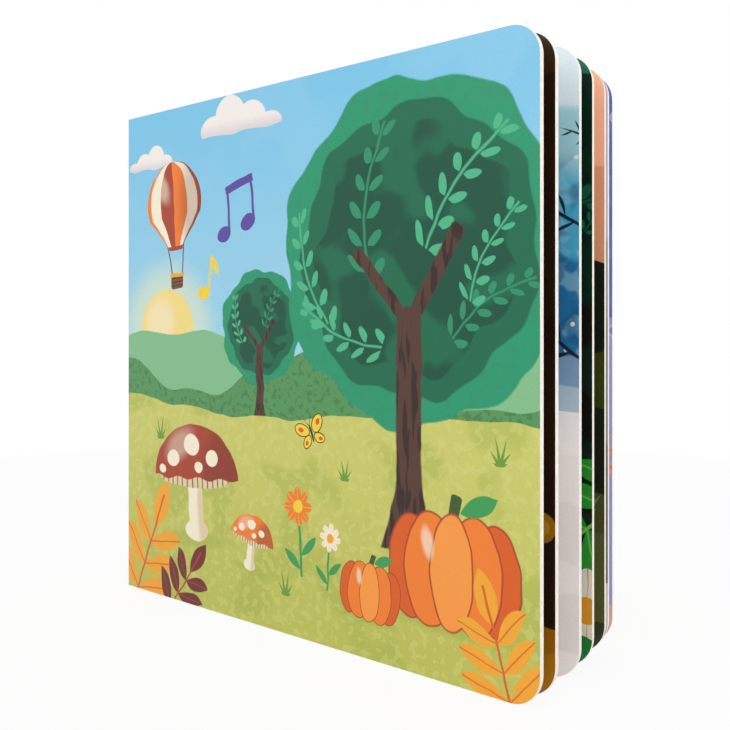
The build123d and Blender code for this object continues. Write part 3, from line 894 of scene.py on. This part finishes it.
winter = picture_on("winter_print", leaf_faces[2], "#e4edf0")
winter.lay_below("#a9d3d9", 160, (3, 90, 2), (1.2, 31, 0), edge=3)
winter.lay_below("#50b2d0", 143, (2, 40, 0.5), edge=9)
winter.lay_below("#2a78a8", 119, (2, 50, 0), edge=3)
wash = winter.below(146, edge=10)
winter.lay(wash * winter.dabs(0.16, 0.42, 2, 0.12) * 0.6, "#92c9d9")
winter.lay(wash * winter.dabs(0.1, 0.4, 5, 0.1) * 0.6, "#1f5f90")
winter.lay_below("#86a6c6", 92, edge=1)
winter.lay_below("#b9cbd8", 84, (2, 70, 0.5), edge=1)
winter.lay_below("#faf4ef", 76)
for level, tone in ((60, "#f5eeea"), (47, "#ede6e3"), (34, "#f5eeea"), (22, "#ece5e2"), (10, "#f7f0ec")):
    winter.lay_below(tone, level, (3, 46 + level, level), (1, 19, 0), edge=0.8)
winter.lay(winter.above(78) * winter.dots(13, 0.7, 1), CLOUD)
twigs = [(184, 126, 22, 150), (184, 88, 26, 145), (150, 82, 34, 70), (186, 152, 14, 160)]
strew(winter, twig, twigs, ["#1d2438"])
for x in (34, 70, 112):
    winter.lay(winter.bar(x, 96, 1.6, 32) * winter.above(60), "#e9e4e0")
    strew(winter, twig, [(x, 92, 26, 58), (x, 104, 22, 124)], ["#39415a"])
winter.laminate()

# %% Jungle and dusk
jungle = picture_on("jungle_print", leaf_faces[4], "#05261a")
jungle.lay_below("#15120e", 107)
jungle.lay(jungle.dabs(0.07, 0.4, 3, 0.1) * 0.5, "#0b3324")
jungle.lay(jungle.above(jungle.waves(172, (2.4, 34, 0.8))), "#0f6e50")
for x, y, size, turn, ink in (
    (150, 118, 44, 32, "#0f5f42"), (60, 120, 70, 58, "#0f6e50"), (92, 96, 52, 128, "#136247"),
    (176, 128, 16, 40, "#14704f"), (20, 70, 60, 74, "#0d5a3e"),
):
    jungle.place(sprig, x, y, size, turn, [ink])
jungle.place(branch, 196, 58, 34, 222, ["#2c9a32", "#7cc35a"])
jungle.place(branch, 40, 20, 60, 40, ["#1f7a34", "#5fae4c"])
strew(jungle, daisy, [(177, 17, 12.5), (36, 30, 9), (100, 24, 11), (138, 40, 7)], ["#e9e4da", "#e39a2a"])
jungle.lay_below("#1f7d34", 8, (2, 28, 0.4))
jungle.laminate()

dusk = picture_on("dusk_print", leaf_faces[6], "#f4bb98")
dusk.lay_below("#dea078", 149, edge=1.2)
dusk.lay_oval("#f3cf9a", 70, 132, 17)
dusk.lay_below("#171a10", 118, (5, 170, 2.4), (1.6, 40, 1))
dusk.lay_below("#3c4413", 93, (2, 60, 0))
dusk.lay_below("#1d2012", 74, (2, 80, 1))
dusk.lay_below("#4b4f25", 52, (3, 66, 0))
dusk.lay_below("#5a5e31", 34, (3, 90, 2))
dusk.lay_below("#34391d", 10)
strew(dusk, tuft, [(172, 42, 14), (150, 30, 12), (40, 40, 16), (96, 30, 14)], ["#7d8150"])
dusk.laminate()

# %% Mist and coral sea
mist = picture_on("mist_print", leaf_faces[8], "#d3cbda")
mist.lay_below("#b7afb4", 132, (5, 66, 0), edge=4)
mist.lay_below("#a39c98", 96, (6, 84, 1), edge=3)
mist.lay_below("#857a70", 60, (6, 58, 2), edge=2)
mist.lay_below("#e0dad4", 20, (3, 58, 0))
strew(mist, sprig, [(40, 52, 48, 88), (100, 52, 60.8, 88), (150, 52, 41.6, 88)], ["#6b5c54"])
mist.laminate()

coral = picture_on("coral_print", leaf_faces[10], "#6c7fc0")
coral.lay(coral.dabs(0.1, 0.4, 2, 0.12) * 0.5, "#8296d2")
coral.lay_below("#a9b2e4", 104, (5, 70, 0))
coral.lay_below("#eab9b2", 14, (3, 50, 0))
corals = [(172, 48, 18, 96), (30, 20, 70, 84), (90, 14, 60, 96), (140, 16, 44, 80)]
strew(coral, branch, corals, ["#e9a6a0", "#c46f74"])
coral.lay(coral.above(60) * coral.dots(22, 2, 3), "#c3d2f2")
coral.lay(coral.above(60) * coral.dots(22, 1.5, 3), "#8296d2")
coral.laminate()

# %% [markdown]
# The last spread belongs to the keys. On its right page each key stands in a ring of its own ink, under
# the thing it sounds for, and a path runs below. The left page is the same meadow at evening.

# %% Evening meadow
evening = picture_on("evening_print", leaf_faces[11], "#f0c79b")
evening.lay(evening.v.step(110, 180), "#86a9cf")
evening.lay(evening.oval(122, 112, 30, edge=20) * 0.7, "#f7dfae")
evening.lay_oval("#f7efc9", 122, 112, 15)
strew(evening, cloud, [(44, 160, 22), (146, 164, 16)], ["#f6e3d6", "#e2b9a6"])
paint_hills(evening, 100)
strew(evening, sapling, [(36, 102, 22), (64, 96, 15), (158, 98, 17)])
paint_meadow(evening, 70)
evening.place(tree, 96, 96, 27)
strew(evening, toadstool, [(136, 42, 15), (156, 30, 9)], [ORANGE])
strew(evening, daisy, [(28, 44, 5), (44, 36, 6), (64, 42, 4.6)], [CREAM, YELLOW_LEAF])
strew(evening, tuft, [(20, 20, 10), (84, 30, 9), (112, 22, 9), (168, 56, 8)], [GRASS])
evening.place(pumpkin, 92, 26, 12)
evening.place(butterfly, 58, 66, 7, -18, [PURPLE, YELLOW])
evening.laminate()

# %% End page
concert = picture_on("concert_print", key_page, SKY_LOW)
paint_sky(concert)
strew(concert, cloud, [(36, 166, 18), (104, 170, 15), (158, 160, 18)], CLOUD_INKS)
paint_hills(concert, 100)
paint_meadow(concert, 86)
concert.lay_below(MEADOW_SHADE, 34, (3, 90, 0.6))
path = concert.below(concert.waves(30, (3, 90, 0.6))) * concert.above(concert.waves(19, (3, 80, 0.2)))
concert.lay(path, CREAM)
key_places = [key_page.place_of(f"button_{number}") for number in range(1, len(KEY_INKS) + 1)]
for (x, y), ink in zip(key_places, KEY_INKS):
    for radius, ring_ink in ((11.4, CREAM), (10.6, ink), (9.2, CREAM)):
        concert.lay_oval(ring_ink, x, y, radius)
sounding = [
    (toadstool, 104, 13, 0, [RUSSET]), (sapling, 116, 13), (balloon, 122, 12, 0, BALLOON_INKS),
    (pumpkin, 100, 12), (butterfly, 108, 12, 12, [YELLOW, ORANGE_DARK]),
]
for (x, y), (group, *rest) in zip(key_places, sounding):
    concert.place(group, x, *rest)
strew(concert, quavers, [(56, 134, 9, 10), (150, 132, 9, -6)], [PURPLE])
concert.place(quavers, 22, 134, 8, -10, [YELLOW])
strew(concert, tuft, [(16, 62, 8), (172, 74, 8), (60, 4, 9), (120, 6, 8)], [GRASS])
strew(concert, daisy, [(20, 26, 4.4), (168, 24, 4.8), (150, 20, 4)], [CREAM, YELLOW_LEAF])
concert.laminate()
print("the end page has rings at", [round(x, 1) for x, y in key_places])

# %% [markdown]
# ## Back cover and spine
# The back cover shows the same meadow, quieter, and the spine joins the two.

# %% Back cover and spine
back = picture_on("back_print", back_face, SKY_LOW)
paint_sky(back)
back.place(cloud, 48, 160, 20, inks=CLOUD_INKS)
back.place(cloud, 128, 168, 17, inks=CLOUD_INKS, flipped=True)
back.place(cloud, 100, 140, 11, inks=CLOUD_INKS)
paint_hills(back)
strew(back, sapling, [(26, 98, 17), (166, 98, 20)])
paint_meadow(back)
strew(back, tuft, [(30, 44, 8), (70, 30, 9), (118, 46, 7), (150, 28, 9), (88, 10, 8)], [GRASS])
strew(back, toadstool, [(44, 22, 11), (60, 15, 6.5)], [RUSSET])
strew(back, daisy, [(128, 30, 4.6), (142, 38, 5.4), (166, 26, 4.4)], [CREAM, YELLOW_LEAF])
back.place(pumpkin, 104, 16, 10)
back.laminate()

wrap = Picture("spine_print", (0, 1, 0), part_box("spine")[0].y, SKY_LOW)
paint_sky(wrap)
paint_hills(wrap)
paint_meadow(wrap)
wrap.laminate()

# %% [markdown]
# ## Bare board
# Where the die cut it, board shows its core: pale cream pulp, dull, with a faint run of fibres. The boards
# keep this finish on every face without print.


# %% Core of the board, and dressing
def make_core(name, tone, shade):
    material, place = new_finish(name)
    fibres = noise(place.vector("MULTIPLY", (1, 1, 0.35)), 1.4, 4, 0.7)
    colour = blend(fibres.step(0.3, 0.7), shade, tone)
    surface(colour, fibres, relief=0.03, spread=0.2, least=0.72)
    return material


board_core = make_core("board_core", "#fbf6ee", "#e6ddd0")


def dress(node, bare, faces=(), prints=()):
    """Gives a piece its bare finish, and each of the faces a print of its own."""
    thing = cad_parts[node]
    thing.material_slots[0].material = bare
    for face, picture in zip(faces, prints):
        thing.data.materials.append(picture.material)
        for triangle in face.triangles:
            thing.data.polygons[triangle].material_index = len(thing.data.materials) - 1


leaf_prints = [den, winter, winter, jungle, jungle, dusk, dusk, mist, mist, coral, coral, evening]
front_end = hinge_end("front_cover", cover_faces[0])
back_end = hinge_end("back_cover", back_face)
spine_sides = picked("spine", lambda t: abs(t.normal.z) < 0.5)
dress("front_cover", board_core, [*cover_faces, front_end], [cover, endpaper, wrap])
dress("pages", board_core, leaf_faces, leaf_prints)
dress("end_page", board_core, [key_page], [concert])
dress("back_cover", board_core, [back_face, back_end], [back, wrap])
dress("spine", board_core, [spine_sides], [wrap])
print("dressed:", len(leaf_prints), "leaf faces")

# %% [markdown]
# ## Rubber keys with raised numbers
# The keys are silicone rubber, satin and a little soft at the bevel. The number on each is moulded proud of
# the top. It starts as a flat curve, is made a mesh, and only then goes to its place on the key.

# %% Rubber and numbers
NUMBER_HEIGHT = 8 * MM
NUMBER_RISE = 0.12 * MM
NUMBER_SUNK = 0.05 * MM
FONT_SIZE_OF_HEIGHT = 1.4
MERGE_REACH = 0.001 * MM


def make_rubber(name, ink):
    material, place = new_finish(name)
    dust = noise(place, 0.9, 4, 0.6)
    skin = noise(place, 5, 3)
    colour = blend(dust.step(0.35, 0.75) * 0.12, ink, CREAM)
    surface(colour, skin, 0.01, spread=0.16, least=0.4, fixed={"Specular IOR Level": 0.4}, wear=dust)
    return material


number_rubber = make_rubber("number_rubber", "#fdf6e6")


def raise_number(figure, key, face):
    """A number on the top of a key, which moves with the key."""
    words = bpy.data.curves.new(f"figure_{figure}", "FONT")
    words.body = str(figure)
    words.size = NUMBER_HEIGHT * FONT_SIZE_OF_HEIGHT
    words.extrude = (NUMBER_RISE + NUMBER_SUNK) / 2
    draft = bpy.data.objects.new(f"figure_{figure}_draft", words)
    scene.collection.objects.link(draft)
    bpy.context.view_layer.update()
    mesh = bpy.data.meshes.new_from_object(draft.evaluated_get(bpy.context.evaluated_depsgraph_get()))
    bpy.data.objects.remove(draft)
    spans = zip(*(vertex.co for vertex in mesh.vertices))
    middle = Vector([(min(span) + max(span)) / 2 for span in spans])
    top = max(vertex.co.dot(face.normal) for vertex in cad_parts[key].data.vertices)
    centre = middle_of(key)
    lift = top + (NUMBER_RISE - NUMBER_SUNK) / 2 - centre.dot(face.normal)
    axes = Matrix((face.along, Vector((0, 0, 1)), face.normal)).transposed().to_4x4()
    mesh.transform(Matrix.Translation(centre + face.normal * lift) @ axes @ Matrix.Translation(-middle))
    bm = bmesh.new()
    bm.from_mesh(mesh)
    bmesh.ops.remove_doubles(bm, verts=bm.verts, dist=MERGE_REACH)
    bmesh.ops.recalc_face_normals(bm, faces=bm.faces)
    bm.to_mesh(mesh)
    bm.free()
    mesh.materials.append(number_rubber)
    number = bpy.data.objects.new(f"key_number_{figure}", mesh)
    scene.collection.objects.link(number)
    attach(number, f"{key}_key")


for number, ink in enumerate(KEY_INKS, start=1):
    key = f"button_{number}"
    dress(key, make_rubber(f"{key}_rubber", ink))
    raise_number(number, key, key_page)
print("raised the numbers 1 to", len(KEY_INKS))

# %% [markdown]
# ## The sound unit
# Its shells are moulded plastic with a fine spark-eroded skin. The metal parts are plated or pressed steel,
# the loudspeaker's cone is felted paper, and the circuit board is green laminate with its copper showing
# through as tracks and pads.


# %% Plastic, metal and cable
def make_plastic(name, tone, shade, gloss=0.42):
    material, place = new_finish(name)
    skin = noise(place, 3.2, 4, 0.6)
    clouding = noise(place, 0.05, 3)
    colour = blend(clouding.step(0.3, 0.7), shade, tone)
    surface(colour, skin, relief=0.015, spread=0.16, least=gloss - 0.08)
    return material


def make_metal(name, tone, shade, gloss=0.24, run=(7, 7, 0.5)):
    """Drawn or rolled metal. run is how fine its lines are along each axis."""
    material, place = new_finish(name)
    lines = noise(place.vector("MULTIPLY", run), 1, 3)
    stains = noise(place, 0.6, 3)
    colour = blend(stains.step(0.35, 0.7), tone, shade)
    surface(colour, lines, relief=0.006, spread=0.22, least=gloss, fixed={"Metallic": 1})
    return material


def make_round(name, node, rings, gloss, metallic, relief):
    """A finish in rings about the middle of a round piece. rings pairs a radius in mm with its colour."""
    material, place = new_finish(name)
    offset = place.vector("SUBTRACT", tuple(middle_of(node) / MM))
    radius = offset.vector("CROSS_PRODUCT", tuple(key_page.normal)).length()
    colour = rings[0][1]
    for start, ink in rings[1:]:
        colour = blend(radius.step(start - 0.06, start + 0.06), colour, ink)
    turning = (radius * 9).math("SINE") + noise(place, 2, 3)
    tone = noise(place, 1.2, 4, 0.7).ramp(0.2, 0.9)
    surface(colour.scaled(tone), turning, relief, spread=0.05, least=gloss, fixed={"Metallic": metallic})
    return material


STEEL, STEEL_DARK, NICKEL, NICKEL_DARK = "#c9c8c4", "#8f8c86", "#d8d2c4", "#c6bfb1"
shell_plastic = make_plastic("shell_plastic", "#eceae4", "#e0ddd5")
door_plastic = make_plastic("door_plastic", "#f0eee9", "#e4e1da", 0.36)
contact_steel = make_metal("contact_steel", NICKEL, NICKEL_DARK)
screw_steel = make_metal("screw_steel", STEEL, STEEL_DARK, 0.28, (4, 4, 4))
for finish, nodes in (
    (shell_plastic, ["front_shell", "rear_shell"]),
    (door_plastic, ["battery_door"]),
    (contact_steel, ["contact_positive", "contact_negative", "cell_link_inner", "cell_link_outer"]),
    (screw_steel, ["door_screw", "shell_screws"]),
):
    for node in nodes:
        dress(node, finish)
    print(finish.name, "on", *nodes)

# %% Cells and loudspeaker
cell_rings = [(0, NICKEL), (4.7, "#3a3835"), (5.1, STEEL)]
for number in (1, 2, 3):
    node = f"battery_cell_{number}"
    dress(node, make_round(f"{node}_steel", node, cell_rings, 0.22, 1, 0.004))
basket_rings = [(0, STEEL), (13.2, STEEL_DARK), (16, STEEL)]
magnet_rings = [(0, STEEL_DARK), (7.2, "#3b3a3a")]
dress("speaker_basket", make_round("basket_steel", "speaker_magnet", basket_rings, 0.3, 1, 0.006))
dress("speaker_magnet", make_round("magnet_steel", "speaker_magnet", magnet_rings, 0.42, 0.8, 0.01))
cone_rings = [(0, "#26231f"), (7, "#34302b"), (11.6, "#1d1b19"), (15.2, "#3f3a34")]
dress("speaker_cone", make_round("cone_paper", "speaker_cone", cone_rings, 0.68, 0, 0.05))

# %% Chip and circuit board
resin, place = new_finish("chip_resin")
lumps = noise(place, 0.7, 3)
surface(blend(lumps, "#0e0e10", "#1c1c20"), lumps, relief=0.08, spread=0.12, least=0.14)
dress("sound_chip", resin)

circuit = picture_on("circuit_laminate", key_page, "#1f6b3f", sway=0)
circuit.lay(circuit.dabs(0.25, 0.4, 2, 0.2) * 0.4, "#1a5c36")
tracks = abs((circuit.v + circuit.u * 0.35) % 2.6 - 1.3)
fan_out = circuit.dabs(0.05, 0.5, 4)
circuit.lay(circuit.inside(tracks, 0.32) * fan_out, "#2c8550")
level = abs(circuit.v % 2.2 - 1.1)
circuit.lay(circuit.inside(level, 0.28) * (1 - fan_out), "#2c8550")
for x, y in key_places:
    circuit.lay_oval("#c9a45a", x, y, 4.4)
    teeth = circuit.inside(abs(circuit.v % 1.2 - 0.6), 0.3)
    circuit.lay(circuit.oval(x, y, 3.8) * teeth, "#22242a")
for node in ("speaker_leads", "battery_leads"):
    low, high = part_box(node)
    ends = {round((end.dot(key_page.along) - key_page.root) / MM, 1) for end in (low, high)}
    for x in sorted(ends):
        circuit.lay_oval("#d9d5ca", x, low.z / MM + 1, 1.5, 1.9)
dress("circuit_board", circuit.laminate(0.3))


# %% Leads
def make_cable(name, node, inks):
    """Insulation in two colours, told apart at the middle of the node."""
    material, place = new_finish(name)
    way = key_page.along
    across = place.vector("DOT_PRODUCT", tuple(way), output=1) - middle_of(node).dot(way) / MM
    sheen = noise(place, 1.5, 3)
    surface(blend(across.step(-0.2, 0.2), *inks), sheen, relief=0.02, spread=0.14, least=0.34)
    return material


dress("battery_leads", make_cable("battery_insulation", "battery_leads", ["#b3231d", "#1b1b1d"]))
dress("speaker_leads", make_cable("speaker_insulation", "speaker_leads", ["#d9d4c9", "#2a56a8"]))
print("every one of", len(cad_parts), "solids is dressed")
